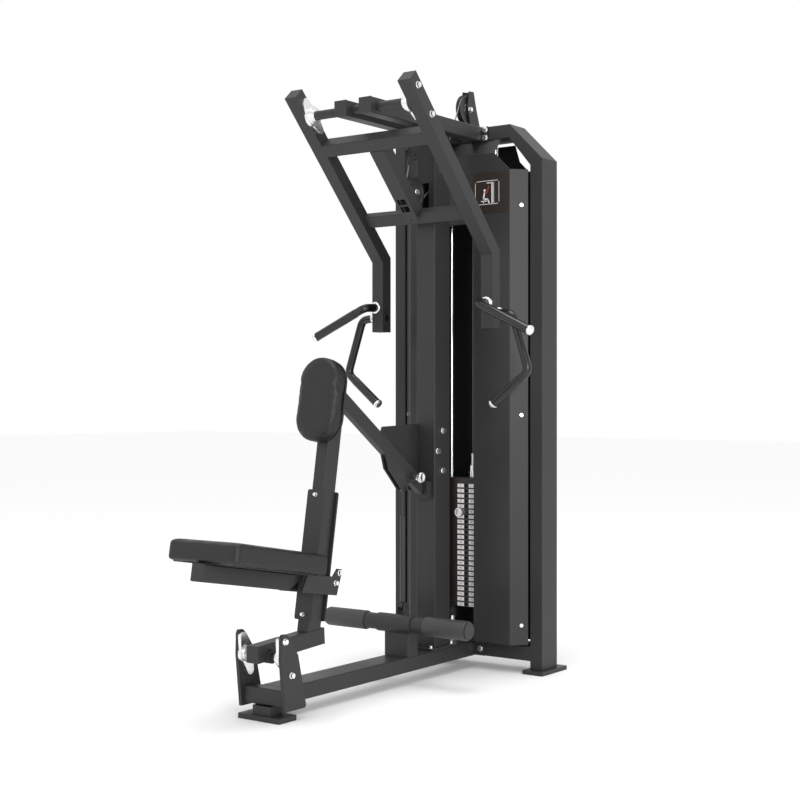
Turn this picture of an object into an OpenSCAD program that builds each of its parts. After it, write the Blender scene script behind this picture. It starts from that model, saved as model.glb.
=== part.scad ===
// Pin-selected seated row machine: a leaning seat frame with a chest pad in
// front of a weight tower, and a pull yoke that hangs from two overhead beams.
// +X is the sitter's right, +Y runs from the sitter to the tower, +Z is up. Millimetres.
// Y is measured from the rear edge of the front cross tube; from_front() brings it to the origin.

/* [Base] */
// Distance from the front cross tube's rear edge to the origin, the middle of the footprint
centre_y = 460; // [440:1:480]
// Width of the long base beam
beam_w = 100; // [80:1:110]
// Underside of the base tubes
beam_low = 46; // [40:1:50]
// Top of the base tubes
beam_top = 100; // [90:1:104]
// Thickness of the foot plates at the tower
foot_t = 15; // [10:1:18]

/* [Tower] */
// Outer half width of the tower
tower_x = 335; // [320:1:345]
// Width of an upright tube
upright_w = 50; // [40:1:60]
// Front face of the uprights
upright_front = 1112; // [1108:1:1116]
// Depth of an upright tube
upright_d = 110; // [100:1:112]
// Top of the tower frame
tower_top = 2046; // [2030:1:2060]
// How far the sloped corner of the frame cuts in
corner_cut = 141; // [120:1:150]

/* [Main column] */
// Width of the column tube
column_w = 82; // [80:1:90]
// Front face of the column
column_front = 843; // [840:1:850]
// Depth of the column tube
column_d = 100; // [96:1:104]

/* [Pull yoke] */
// Pivot shaft, measured from the front cross tube
pivot_y = 452; // [445:1:460]
// Height of the pivot shaft
pivot_z = 2016; // [2010:1:2020]
// Outer half width of the yoke
yoke_x = 270; // [260:1:280]
// Side of the square yoke tubes
yoke_tube = 50; // [45:1:52]
// Slope of the upper half of the yoke from the vertical
yoke_slope = 43.54; // [42:0.01:45]
// Lower end of the yoke arms
yoke_low = 1270; // [1250:1:1290]

/* [Weight stack] */
// Width of a plate
plate_w = 360; // [340:1:370]
// Depth of a plate
plate_d = 102; // [90:1:102]
// Thickness of a plate
plate_t = 19.4; // [19:0.1:19.5]
// Distance from one plate to the next
plate_pitch = 19.7; // [19.7:0.1:20]
// Plates under the selector pin
plates_below = 18; // [16:1:18]
// Plates above the selector pin, lifted at this setting
plates_above = 6; // [5:1:6]
// Underside of the lowest plate
stack_low = 223; // [220:1:226]
// Distance of a guide rod from the middle
rod_x = 100; // [95:1:120]

/* [Seat frame] */
// Height of the tilt shaft
tilt_z = 203; // [200:1:206]
// Place of the tilt shaft, in front of the cross tube's rear edge
tilt_y = -45; // [-48:1:-42]
// Lean of the post towards the tower
lean = 9.7; // [9:0.1:10]
// Front face of the post where it would meet the floor
post_foot_y = 97; // [95:1:99]
// Length of the seat pad
seat_len = 460; // [430:1:465]
// Width of the seat pad
seat_w = 304; // [280:1:310]
// Thickness of the seat pad
seat_t = 66; // [55:1:68]
// Width of the chest pad
chest_w = 172; // [150:1:175]
// Height of the chest pad
chest_h = 292; // [270:1:300]

/* [Foot bar] */
// Height of the foot bar
foot_bar_z = 217; // [210:1:225]
// Place of the foot bar
foot_bar_y = 664; // [660:1:668]
// Half length of the foot bar
foot_bar_x = 310; // [290:1:320]

/* [Hidden] */
$fn = 40;
wall = 3;
fine_gap = 0.3;
steel = "#444444";
chrome = "#dcdcdc";
rubber = "#1c1c1c";

upright_back = upright_front + upright_d;
column_back = column_front + column_d;
stem_y = upright_front + upright_d / 2 - 5;
stack_top = stack_low + plate_pitch * (plates_below + plates_above);
head_top = stack_top + 20;
stem_top = head_top + 92;
pin_z = stack_low + plate_pitch * plates_below + plate_t / 2;
shroud_y = 1063;
window_x = 67;
seat_rear = 66;

// Cable: centre line radii round each pulley and the pulleys' centres, as [y, z]
cable_r = 2.5;
arm_wrap = 50;
guide_wrap = 39.4;
top_wrap = 48;
arm_hub = [764, 1765];
guide_hub = [893, 1855];
top_hub = [stem_y - top_wrap, 2120];
anchor_end = [749, 1902];

// Tilt stops: the pin's circle about the tilt shaft
pin_hub = [740, 735];
lug_hub = [700, 697];
gas_foot = [701, 275];
tilt_travel = 9.6;

function heading(from, to) = atan2(to[1] - from[1], to[0] - from[0]);
function distance(from, to) = norm(to - from);
function on_circle(hub, r, angle) = hub + r * [cos(angle), sin(angle)];
// Angle at which a line from a far point touches a circle, on the circle's left (+1) or right (-1)
function touch(far, hub, r, side) = heading(hub, far) + side * acos(r / distance(far, hub));
// Direction of the line that crosses between two circles, left of the second
function crossing(hub_a, r_a, hub_b, r_b) = heading(hub_a, hub_b) + asin((r_a + r_b) / distance(hub_a, hub_b));

arm_touch = touch(anchor_end, arm_hub, arm_wrap, 1);
low_run = heading(arm_hub, guide_hub) + asin((arm_wrap - guide_wrap) / distance(arm_hub, guide_hub));
high_run = crossing(guide_hub, guide_wrap, top_hub, top_wrap);

module from_front() { translate([0, -centre_y, 0]) children(); }
module both_sides() { children(); mirror([1, 0, 0]) children(); }
module block(lo, hi) { translate(lo) cube(hi - lo); }
// Draws a child that lies in the Y-Z plane and gives it a width along X
module side_plate(x0, x1) { translate([x0, 0, 0]) rotate([90, 0, 90]) linear_extrude(x1 - x0) children(); }
// A round bar along X
module bar_x(x0, x1, r, y, z) { translate([x0, y, z]) rotate([0, 90, 0]) cylinder(h = x1 - x0, r = r); }
// A round bar along Y
module bar_y(y0, y1, r, x, z) { translate([x, y0, z]) rotate([-90, 0, 0]) cylinder(h = y1 - y0, r = r); }
// Rounded section of a drawn tube, centred
module tube_section(w, d, r = 4) {
    square([w - 2 * r, d], center = true);
    square([w, d - 2 * r], center = true);
    for (x = [-1, 1], y = [-1, 1]) translate([x * (w / 2 - r), y * (d / 2 - r)]) circle(r, $fn = 16);
}
module tube(w, d, len, t = wall) {
    linear_extrude(len) difference() {
        tube_section(w, d);
        square([w - 2 * t, d - 2 * t], center = true);
    }
}
// Tubes along each axis, between two corners
module tube_z(lo, hi) {
    translate([(lo[0] + hi[0]) / 2, (lo[1] + hi[1]) / 2, lo[2]]) tube(hi[0] - lo[0], hi[1] - lo[1], hi[2] - lo[2]);
}
module tube_y(lo, hi) {
    translate([(lo[0] + hi[0]) / 2, lo[1], (lo[2] + hi[2]) / 2])
        rotate([-90, 0, 0]) tube(hi[0] - lo[0], hi[2] - lo[2], hi[1] - lo[1]);
}
module tube_x(lo, hi) {
    translate([lo[0], (lo[1] + hi[1]) / 2, (lo[2] + hi[2]) / 2])
        rotate([90, 0, 90]) tube(hi[1] - lo[1], hi[2] - lo[2], hi[0] - lo[0]);
}
// Frame of the leaning post: Y behind its front face, Z along it
module leaning() { translate([0, post_foot_y, 0]) rotate([-lean, 0, 0]) children(); }
// Frame of the yoke's sloped half: Y behind its front face, Z up along it from its upper end
module sloping() { translate([0, 366, 2070]) rotate([yoke_slope, 0, 0]) children(); }
// Hexagon bolt head with a washer and a domed nut shape, along +X from a face
module bolt_head_x(x, y, z, r = 9) {
    bar_x(x, x + 2, r * 1.15, y, z);
    translate([x + 2, y, z]) rotate([0, 90, 0]) cylinder(h = 8, r = r, $fn = 6);
}
module bolt_head_y(x, y, z, r = 9) {
    bar_y(y - 2, y, r * 1.15, x, z);
    translate([x, y - 2, z]) rotate([90, 0, 0]) cylinder(h = 8, r = r, $fn = 6);
}
module bolt_head_z(x, y, z, r = 9) {
    translate([x, y, z]) cylinder(h = 2, r = r * 1.15);
    translate([x, y, z + 2]) cylinder(h = 8, r = r, $fn = 6);
}
// Cast oblong two-bolt flange bearing in the plane of X, facing +X, long axis along Z
module flange_bearing(bore_r, span, hub_r = 26) {
    difference() {
        union() {
            side_plate(0, 12) {
                circle(hub_r + 6);
                for (s = [-1, 1]) translate([0, s * span / 2]) circle(15);
                for (s = [-1, 1]) polygon([[-15, s * span / 2], [15, s * span / 2], [24, s * 20], [-24, s * 20]]);
            }
            bar_x(0, 22, hub_r, 0, 0);
            bar_x(0, 30, hub_r - 7, 0, 0);
        }
        bar_x(-1, 31, bore_r, 0, 0);
    }
}
// Grooved cable pulley about X
module pulley(r, wrap, half_w, bore_r) {
    rotate([90, 0, 90]) rotate_extrude($fn = 64) polygon([[bore_r, -half_w], [r * 0.42, -half_w],
        [r * 0.46, -half_w + 3], [r - 12, -half_w + 3], [r - 9, -half_w], [r, -half_w],
        [wrap - cable_r, -cable_r], [wrap - cable_r, cable_r],
        [r, half_w], [r - 9, half_w], [r - 12, half_w - 3], [r * 0.46, half_w - 3], [r * 0.42, half_w], [bore_r, half_w]]);
}
// Straight runs stop a hair short of the bends, so that each stretch stays its own solid
module cable_line(from, to, short = 0.05) {
    translate([0, from[0], from[1]]) rotate([heading(from, to) - 90, 0, 0]) translate([0, 0, short])
        cylinder(h = distance(from, to) - 2 * short, r = cable_r, $fn = 16);
}
module cable_bend(hub, r, start, sweep) {
    translate([0, hub[0], hub[1]]) rotate([90, 0, 90]) rotate([0, 0, start])
        rotate_extrude(angle = sweep, $fn = 64) translate([r, 0]) circle(cable_r, $fn = 16);
}

// Long flat tube from the front cross tube to the tower, with the flange that bolts it to the tower
module base_beam() {
    color(steel) from_front() {
        tube_y([-beam_w / 2, 0, beam_low], [beam_w / 2, upright_front - 7.05, beam_top]);
        difference() {
            block([-88, upright_front - 7, beam_low], [88, upright_front, beam_top - 1]);
            for (x = [-70, 70]) bar_y(upright_front - 8, upright_front + 1, 6.5, x, 72);
        }
    }
}
module front_cross_tube() {
    color(steel) from_front() tube_x([-85, -48, beam_low], [85, 0, beam_top]);
}
// Foot block under the front cross tube and the two plates under the tower
module feet() {
    color(steel) from_front() {
        block([-86, -75, 0], [86, 9, 17]);
        tube_z([-37.5, -62, 17], [37.5, 2, beam_low]);
        both_sides() difference() {
            block([267, 1085, 0], [353, 1265, foot_t]);
            translate([310, 1245, -1]) cylinder(h = foot_t + 2, r = 7);
        }
    }
}
module bearing_plates() {
    color(steel) from_front() both_sides() difference() {
        side_plate(85, 97) {
            polygon([[-58, 36], [40, 36], [44, 45], [5, 208], [-38, 268], [-52, 280], [-68, 280], [-74, 270], [-76, 204]]);
        }
        bar_x(80, 100, 6.5, -61, 258);
        bar_x(80, 100, 6.5, -29, 148);
    }
}
module base_bearings() {
    color(chrome) from_front() both_sides()
        translate([85, tilt_y, tilt_z]) rotate([16.2, 0, 0]) mirror([1, 0, 0]) flange_bearing(12.55, 114.6);
}
module rear_cross_tube() {
    color(steel) from_front()
        tube_x([-tower_x + upright_w, upright_front, beam_low - 1], [tower_x - upright_w, upright_back, beam_top]);
}
// Right upright with its sloped top corner, left upright running straight up
module uprights() {
    inner = tower_x - upright_w;
    color(steel) from_front() {
        difference() {
            translate([0, upright_back, 0]) rotate([90, 0, 0]) linear_extrude(upright_d)
                polygon([[inner, foot_t], [tower_x, foot_t], [tower_x, tower_top - corner_cut],
                    [tower_x - corner_cut, tower_top], [tower_x - corner_cut, tower_top - 52],
                    [inner, tower_top - corner_cut - 21]]);
            translate([0, upright_back - wall, 0]) rotate([90, 0, 0]) linear_extrude(upright_d - 2 * wall)
                polygon([[inner + wall, foot_t - 1], [tower_x - wall, foot_t - 1],
                    [tower_x - wall, tower_top - corner_cut - 1], [tower_x - corner_cut - 1, tower_top - wall],
                    [tower_x - corner_cut - 1, tower_top - 49], [inner + wall, tower_top - corner_cut - 22]]);
        }
        tube_z([-tower_x, upright_front, foot_t], [-inner, upright_back, tower_top - wall]);
        block([-tower_x, upright_front, tower_top - wall], [-inner, upright_back, tower_top]);
    }
}
module top_beam() {
    color(steel) from_front() difference() {
        tube_x([-tower_x + upright_w, upright_front, tower_top - 52], [tower_x - corner_cut, upright_back, tower_top]);
        translate([0, stem_y, tower_top - 60]) cylinder(h = 70, r = 14);
    }
}
// Two beams that carry the yoke's pivot, with the flanges that bolt them to the top beam
module overhead_beams() {
    color(steel) from_front() both_sides() difference() {
        union() {
            tube_y([27, 407, 1991], [79, upright_front - 7.05, 2045]);
            block([27, 407, 1991], [79, 411, 2045]);
            block([27, upright_front - 7, 1991], [102, upright_front, tower_top]);
        }
        bar_x(20, 90, 16.05, pivot_y, pivot_z);
        for (z = [2004, 2034]) bar_y(upright_front - 8, upright_front + 1, 5.5, 91, z);
    }
}
module main_column() {
    color(steel) from_front() difference() {
        union() {
            tube_z([-column_w / 2, column_front, beam_top + 8.05], [column_w / 2, column_back, 1991]);
            block([-50, 810, beam_top], [50, 964, beam_top + 8]);
        }
        block([-15, column_front - 1, 1717], [15, column_front + wall + 1, 1808]);
        block([-15, column_back - wall - 1, 1845], [15, column_back + 1, 1960]);
        bar_x(-50, 50, 6.05, guide_hub[0], guide_hub[1]);
        for (p = [[-38, 822], [38, 822], [-38, 952], [38, 952]])
            translate([p[0], p[1], beam_top - 1]) cylinder(h = 10, r = 5.5);
    }
}
module pivot_shaft() {
    color(steel) from_front() bar_x(-218, 218, 16, pivot_y, pivot_z);
}
// Post on the base beam that carries the foot bar's sockets and the gas spring's lower eye
module foot_post() {
    color(steel) from_front() {
        difference() {
            union() {
                tube_z([-52, 660, beam_top], [52, 722, 217]);
                block([-52, 660, 217], [52, 722, 221]);
                bar_x(-76, 76, 33, foot_bar_y, foot_bar_z);
            }
            both_sides() bar_x(60, 80, 22.05, foot_bar_y, foot_bar_z);
        }
        both_sides() difference() {
            side_plate(12, 17) union() {
                polygon([[683, 219], [719, 219], [715, 280], [687, 280]]);
                translate([gas_foot[0], gas_foot[1]]) circle(14);
            }
            bar_x(10, 20, 5, gas_foot[0], gas_foot[1]);
        }
        bar_x(-20, 20, 4.95, gas_foot[0], gas_foot[1]);
    }
}
module foot_bar() {
    color(steel) from_front() both_sides() {
        bar_x(60, 76, 22, foot_bar_y, foot_bar_z);
        bar_x(76, 128, 29, foot_bar_y, foot_bar_z);
        bar_x(128, foot_bar_x - 4, 24, foot_bar_y, foot_bar_z);
        bar_x(foot_bar_x - 4, foot_bar_x, 30, foot_bar_y, foot_bar_z);
    }
}
module foot_sleeves() {
    color(rubber) from_front() both_sides() difference() {
        bar_x(128, foot_bar_x - 4, 34, foot_bar_y, foot_bar_z);
        bar_x(127, foot_bar_x, 24, foot_bar_y, foot_bar_z);
    }
}
// Plate on the column's left side with the curved slot and the pockets that set the seat frame's tilt
module quadrant_plate() {
    pin_r = distance([tilt_y, tilt_z], pin_hub);
    start = heading([tilt_y, tilt_z], pin_hub);
    color(steel) from_front() difference() {
        side_plate(-41, -35) polygon([[column_front, 925], [628, 918], [612, 884], [706, 700],
            [742, 684], [column_front, 684]]);
        translate([-42, tilt_y, tilt_z]) rotate([90, 0, 90]) rotate([0, 0, start - 0.4])
            rotate_extrude(angle = tilt_travel + 0.8, $fn = 96) translate([pin_r - 6.4, 0]) square([12.8, 9]);
        for (i = [0:3]) {
            spot = on_circle([tilt_y, tilt_z], pin_r, start + i * tilt_travel / 3);
            bar_x(-42, -34, 9, spot[0], spot[1]);
        }
    }
}
module stop_block() {
    color(steel) from_front() block([-28, 812, 655], [28, column_front, 715]);
}
module stop_bumper() {
    color(rubber) from_front() bar_y(806.5, 812, 18, 0, 690);
}
// Lug between the overhead beams, cable terminal and its nut
module cable_anchor() {
    color(chrome) from_front() {
        difference() {
            side_plate(-4, 4) polygon([[742, 1885], [790, 1885], [800, 1991], [732, 1991]]);
            bar_x(-5, 5, 4, 772, 1902);
        }
        block([-27, 732, 1991], [27, 800, 1996]);
        translate([0, anchor_end[0], anchor_end[1]])
            rotate([heading(on_circle(arm_hub, arm_wrap, arm_touch), anchor_end) - 90, 0, 0])
            translate([0, 0, -42]) difference() {
                cylinder(h = 45, r = 6.5);
                translate([0, 0, -1]) cylinder(h = 20, r = cable_r);
            }
        bar_x(-9, 9, 9, anchor_end[0], anchor_end[1]);
    }
}
// Two cheeks on the top beam that hold the top pulley
module pulley_bracket() {
    color(steel) from_front() {
        both_sides() difference() {
            side_plate(12, 16) polygon([[1122, 2052], [1190, 2052], [1160, 2130], [1142, 2192],
                [1112, 2190], [1100, 2130]]);
            bar_x(10, 20, 6.05, top_hub[0], top_hub[1]);
        }
        difference() {
            block([-30, 1118, tower_top], [30, 1196, tower_top + 6]);
            translate([0, stem_y, tower_top - 1]) cylinder(h = 8, r = 9);
        }
        block([-16, 1118, 2184], [16, 1138, 2188]);
    }
}
module pulley_axles() {
    color(chrome) from_front() {
        bar_x(-24, 24, 6, top_hub[0], top_hub[1]);
        bar_x(-48, 48, 6, guide_hub[0], guide_hub[1]);
        both_sides() bolt_head_x(16, top_hub[0], top_hub[1]);
        both_sides() bolt_head_x(column_w / 2, guide_hub[0], guide_hub[1]);
    }
}
module top_pulley() {
    color("#202020") from_front() translate([0, top_hub[0], top_hub[1]]) pulley(57, top_wrap, 10, 6.05);
}
module guide_pulley() {
    color("#202020") from_front() translate([0, guide_hub[0], guide_hub[1]]) pulley(46, guide_wrap, 10, 6.05);
}
// Folded sheet in front of the stack, with the window down its middle
module front_shroud() {
    color(steel) from_front() {
        difference() {
            union() {
                block([-226, shroud_y, 105], [226, shroud_y + 2, 1935]);
                both_sides() translate([0, 0, 105]) linear_extrude(1763) polygon([[226, shroud_y],
                    [277, upright_front - 1], [274.5, upright_front - 1], [223, shroud_y + 2]]);
            }
            block([-window_x, shroud_y - 1, 105 - 1], [window_x, shroud_y + 3, 1677]);
            both_sides() translate([0, shroud_y + 3, 0]) rotate([90, 0, 0]) linear_extrude(4)
                polygon([[157, 1936], [227, 1936], [227, 1866.6]]);
        }
        side_plate(-157, 157) polygon([[shroud_y, 1935], [shroud_y + 2, 1933], [upright_front - 1, 1988],
            [upright_front - 1, 1991]]);
        both_sides() block([window_x, shroud_y + 2, 105], [window_x + 2, shroud_y + 22, 1677]);
    }
}
module rear_cover() {
    color("#181818") from_front() translate([0, upright_back + 3, 0]) rotate([90, 0, 0]) linear_extrude(2)
        polygon([[-284, 105], [284, 105], [284, 1880], [212, 1880], [172, 1920], [152, 1985],
            [-152, 1985], [-172, 1920], [-212, 1880], [-284, 1880]]);
}
module placard() {
    color("#2b2420") from_front() block([window_x + 1, shroud_y - 1.5, 1712], [219, shroud_y, 1863]);
}
module guide_rods() {
    color(chrome) from_front() both_sides() translate([rod_x, stem_y, beam_top]) cylinder(h = tower_top - 52 - beam_top, r = 12.5);
}
module bumper_seats() {
    color(chrome) from_front() both_sides() translate([rod_x, stem_y, beam_top]) difference() {
        cylinder(h = 80, r = 22);
        translate([0, 0, -1]) cylinder(h = 82, r = 12.5);
    }
}
module stack_bumpers() {
    color(rubber) from_front() both_sides() translate([rod_x, stem_y, beam_top + 80]) difference() {
        cylinder(h = stack_low - beam_top - 80, r = 30);
        translate([0, 0, -1]) cylinder(h = 60, r = 12.5);
    }
}
// One weight plate with its rod holes, stem hole and selector hole
module weight_plate(t) {
    difference() {
        block([-plate_w / 2, stem_y - plate_d / 2, 0], [plate_w / 2, stem_y + plate_d / 2, t]);
        both_sides() translate([rod_x, stem_y, -1]) cylinder(h = t + 2, r = 13.5);
        translate([0, stem_y, -1]) cylinder(h = t + 2, r = 12);
        bar_y(stem_y - plate_d, stem_y, 5.6, 0, t / 2);
    }
}
module lower_plates() {
    color("#1f1a18") from_front() for (i = [0 : plates_below - 1])
        translate([0, 0, stack_low + i * plate_pitch]) weight_plate(plate_t);
}
module upper_plates() {
    color("#1f1a18") from_front() for (i = [plates_below : plates_below + plates_above - 1])
        translate([0, 0, stack_low + i * plate_pitch]) weight_plate(plate_t);
}
module head_plate() {
    color("#1f1a18") from_front() translate([0, 0, stack_top]) difference() {
        block([-plate_w / 2, stem_y - plate_d / 2, 0], [plate_w / 2, stem_y + plate_d / 2, 20]);
        both_sides() translate([rod_x, stem_y, -1]) cylinder(h = 22, r = 13.5);
        translate([0, stem_y, -1]) cylinder(h = 22, r = 11);
    }
}
// Selector stem with a cross hole at every plate, its collar and the cable's threaded fitting
module selector_stem() {
    color(chrome) from_front() difference() {
        union() {
            translate([0, stem_y, stack_low + 4]) cylinder(h = head_top - stack_low - 4, r = 11);
            translate([0, stem_y, head_top]) cylinder(h = 26, r = 17);
            translate([0, stem_y, head_top + 26]) cylinder(h = 20, r = 12, $fn = 6);
            translate([0, stem_y, head_top + 46]) cylinder(h = stem_top - head_top - 46, r = 8);
        }
        for (i = [0 : plates_below + plates_above - 1])
            bar_y(stem_y - 20, stem_y + 20, 5.6, 0, stack_low + i * plate_pitch + plate_t / 2);
    }
}
module selector_pin() {
    color(chrome) from_front() {
        bar_y(1074, stem_y + 10, 5, 0, pin_z);
        bar_y(1060, 1076, 19, 0, pin_z);
    }
}
module stack_cable() {
    color("#777777") from_front() {
        translate([0, stem_y, stem_top]) cylinder(h = top_hub[1] - stem_top, r = cable_r, $fn = 16);
    }
}
// Cable from the anchor round the yoke's pulley, through the column and over the top pulley
module arm_cable() {
    color("#777777") from_front() {
        cable_line(anchor_end + 22 * [cos(heading(anchor_end, on_circle(arm_hub, arm_wrap, arm_touch))),
            sin(heading(anchor_end, on_circle(arm_hub, arm_wrap, arm_touch)))], on_circle(arm_hub, arm_wrap, arm_touch));
        cable_bend(arm_hub, arm_wrap, arm_touch, 270 + low_run - arm_touch);
        cable_line(on_circle(arm_hub, arm_wrap, low_run - 90), on_circle(guide_hub, guide_wrap, low_run - 90));
        cable_bend(guide_hub, guide_wrap, low_run - 90, high_run - low_run);
        cable_line(on_circle(guide_hub, guide_wrap, high_run - 90), on_circle(top_hub, top_wrap, high_run + 90));
        cable_bend(top_hub, top_wrap, 0, high_run + 90);
    }
}
// Side of one yoke arm: sloped from the pivot, then straight down
module arm_outline(t) {
    bend_y = 876;
    slope = [sin(yoke_slope), -cos(yoke_slope)];
    back = [cos(yoke_slope), sin(yoke_slope)];
    top = [366, 2070];
    front_run = (bend_y + t - top[0] - t * back[0]) / slope[0];
    rear_run = (bend_y + yoke_tube - t - top[0] - (yoke_tube - t) * back[0]) / slope[0];
    polygon([top + t * back + t * slope, top + t * back + front_run * slope, [bend_y + t, yoke_low + t],
        [bend_y + yoke_tube - t, yoke_low + t], top + (yoke_tube - t) * back + rear_run * slope,
        top + (yoke_tube - t) * back + t * slope]);
}
module yoke_arms() {
    color(steel) from_front() both_sides() difference() {
        side_plate(yoke_x - yoke_tube, yoke_x) arm_outline(0);
        side_plate(yoke_x - yoke_tube + wall, yoke_x - wall) arm_outline(wall);
        bar_x(yoke_x - yoke_tube - 1, yoke_x - 20, 13, 903, 1324);
        translate([0, 876, 2070 - 510 / tan(yoke_slope)]) rotate([yoke_slope / 2, 0, 0])
            block([yoke_x - yoke_tube - 1, -20, -0.05], [yoke_x + 1, 80, 0.05]);
    }
}
module yoke_cross_tubes() {
    inner = yoke_x - yoke_tube;
    color(steel) from_front() sloping() {
        tube_x([-inner, 0, -259], [inner, 50, -209]);
        tube_x([-inner, 20, -596], [inner, 50, -546]);
    }
}
// Folded channel between the cross tubes that holds the yoke's pulley between two cheeks
module yoke_channel() {
    color(steel) from_front() {
        sloping() difference() {
            union() {
                block([-30, 0, -572], [30, 4, -259]);
                both_sides() block([26, 0, -546], [30, 50, -259]);
            }
            block([-20, -1, -493], [17, 5, -469]);
            block([-20, -1, -525], [17, 5, -500]);
            translate([0, -1, -561]) rotate([-90, 0, 0]) cylinder(h = 6, r = 4);
        }
        both_sides() difference() {
            sloping() side_plate(12, 16) polygon([[3, -532], [3, -527], [6, -527], [6, -464], [3, -464],
                [3, -458], [55, -458], [94, -476], [94, -514], [55, -532]]);
            bar_x(10, 20, 6.05, arm_hub[0], arm_hub[1]);
        }
    }
}
module yoke_bearings() {
    color(chrome) from_front() both_sides() translate([yoke_x - yoke_tube, pivot_y, pivot_z])
        rotate([yoke_slope, 0, 0]) mirror([1, 0, 0]) flange_bearing(16.05, 116, 30);
}
module arm_pulley() {
    color("#202020") from_front() translate([0, arm_hub[0], arm_hub[1]]) pulley(57, arm_wrap, 10, 6.05);
}
// A bent round bar through a list of points, with slightly swollen knuckles at the bends
module bent_bar(points, r) {
    for (i = [0 : len(points) - 2]) {
        step = points[i + 1] - points[i];
        translate(points[i]) rotate([0, acos(step[2] / norm(step)), atan2(step[1], step[0])])
            cylinder(h = norm(step), r = r);
    }
    for (i = [1 : len(points) - 2]) translate(points[i]) sphere(r + 0.6);
}
upper_grip = [[247, 874.5, 1362], [250, 802, 1358], [471, 791, 1255]];
lower_grip = [[271.5, 903, 1325], [338, 904, 1319], [404, 901, 1115], [262, 896, 1001]];
module row_handles() {
    color("#161616") from_front() both_sides() {
        bent_bar(upper_grip, 16);
        bent_bar(lower_grip, 16);
    }
}
// Polished collars where the handles enter the yoke, and their domed end caps
module cap_at(from, to) {
    step = to - from;
    translate(to) rotate([0, acos(step[2] / norm(step)), atan2(step[1], step[0])]) {
        cylinder(h = 9, r = 18);
        translate([0, 0, 9]) cylinder(h = 5, r = 14);
    }
}
module handle_fittings() {
    color(chrome) from_front() both_sides() {
        difference() {
            bar_y(858, 876, 22.5, 247.4, 1361.5);
            bar_y(850, 880, 17, 247.4, 1361.5);
        }
        difference() {
            bar_x(270, 286, 22.5, 903.1, 1324.3);
            bar_x(260, 290, 17, 903.1, 1324.3);
        }
        cap_at(upper_grip[1], upper_grip[2]);
        cap_at(lower_grip[2], lower_grip[3]);
    }
}
module yoke_bolts() {
    color(chrome) from_front() {
        both_sides() translate([yoke_x, 0, 0]) sloping() for (z = [-40.3, -156.3]) bolt_head_x(0, 25, z, 10);
        bar_x(-24, 24, 6, arm_hub[0], arm_hub[1]);
        both_sides() bolt_head_x(16, arm_hub[0], arm_hub[1]);
    }
}
// Rocker under the post, with the hub that turns on the base bearings
module rocker_tube() {
    color(steel) from_front() {
        translate([0, -100, 186]) rotate([3.4, 0, 0]) difference() {
            tube_y([-25, 0, 0], [25, 325, 55]);
            bar_x(-30, 30, 15, 55.9, 13.7);
        }
        difference() {
            bar_x(-34, 34, 22, tilt_y, tilt_z);
            bar_x(-35, 35, 12.5, tilt_y, tilt_z);
        }
        block([-25, -103, 187], [25, -99, 240]);
        translate([0, -100, 186]) rotate([3.4, 0, 0]) block([-25, 325, 0], [25, 328, 55]);
    }
}
module rocker_shaft() {
    color(steel) from_front() bar_x(-84, 84, 12.5, tilt_y, tilt_z);
}
// Square post that leans to the tower, standing in the rocker
module seat_post() {
    color(steel) from_front() difference() {
        leaning() {
            tube_z([-25, 0, 230], [25, 64, 1075]);
            block([-25, 0, 1075], [25, 64, 1079]);
        }
        translate([0, -100, 186]) rotate([3.4, 0, 0]) block([-60, 0, -100], [60, 400, 55.05]);
    }
}
module guide_plates() {
    color(steel) from_front() leaning() {
        translate([0, 0, 511.5]) rotate([90, 0, 0]) linear_extrude(6) tube_section(72, 429, 8);
        difference() {
            translate([0, 70, 511.5]) rotate([90, 0, 0]) linear_extrude(6) tube_section(72, 429, 8);
            block([-6.4, 63, 380], [6.4, 71, 660]);
            for (w = [400:40:640]) bar_y(63, 71, 9, 0, w);
        }
    }
}
// Flat tube from the post's head down to the column, with the pin's sleeve and the gas spring's lug
module brace_arm() {
    color(steel) from_front() difference() {
        union() {
            side_plate(-12.5, 12.5) polygon([[342, 1048], [806, 727], [806, 667], [334, 993]]);
            bar_x(-32, 28, 16, pin_hub[0], pin_hub[1]);
            both_sides() side_plate(8, 12.5) polygon([[583, 822], [600, 770], [682, 690], [718, 690], [718, 735]]);
        }
        side_plate(-9.5, 9.5) polygon([[330, 1050], [800, 727], [800, 675], [330, 998]]);
        bar_x(-40, 40, 6.05, pin_hub[0], pin_hub[1]);
        block([-8, 540, 640], [8, 735, 740]);
        bar_x(-20, 20, 5.05, lug_hub[0], lug_hub[1]);
    }
}
// Rounded end pad outline across X, standing along the post
module chest_outline(grow = 0) {
    r = chest_w / 2 + grow;
    for (s = [-1, 1]) translate([0, s * (chest_h - chest_w) / 2]) circle(r);
    square([2 * r, chest_h - chest_w], center = true);
}
module chest_board() {
    color("#202020") from_front() leaning() translate([0, 0, 1022]) rotate([90, 0, 0])
        linear_extrude(8) chest_outline(-8);
}
module chest_pad() {
    color("#262626") from_front() leaning() translate([0, -8 - fine_gap, 1022]) rotate([90, 0, 0])
        linear_extrude(59) chest_outline();
}
module post_screws() {
    color(chrome) from_front() leaning() {
        for (w = [314, 709]) bolt_head_y(0, -6, w, 6);
        translate([0, 64, 885]) rotate([0, 0, 180]) bolt_head_y(0, 0, 0, 9);
    }
}
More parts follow.
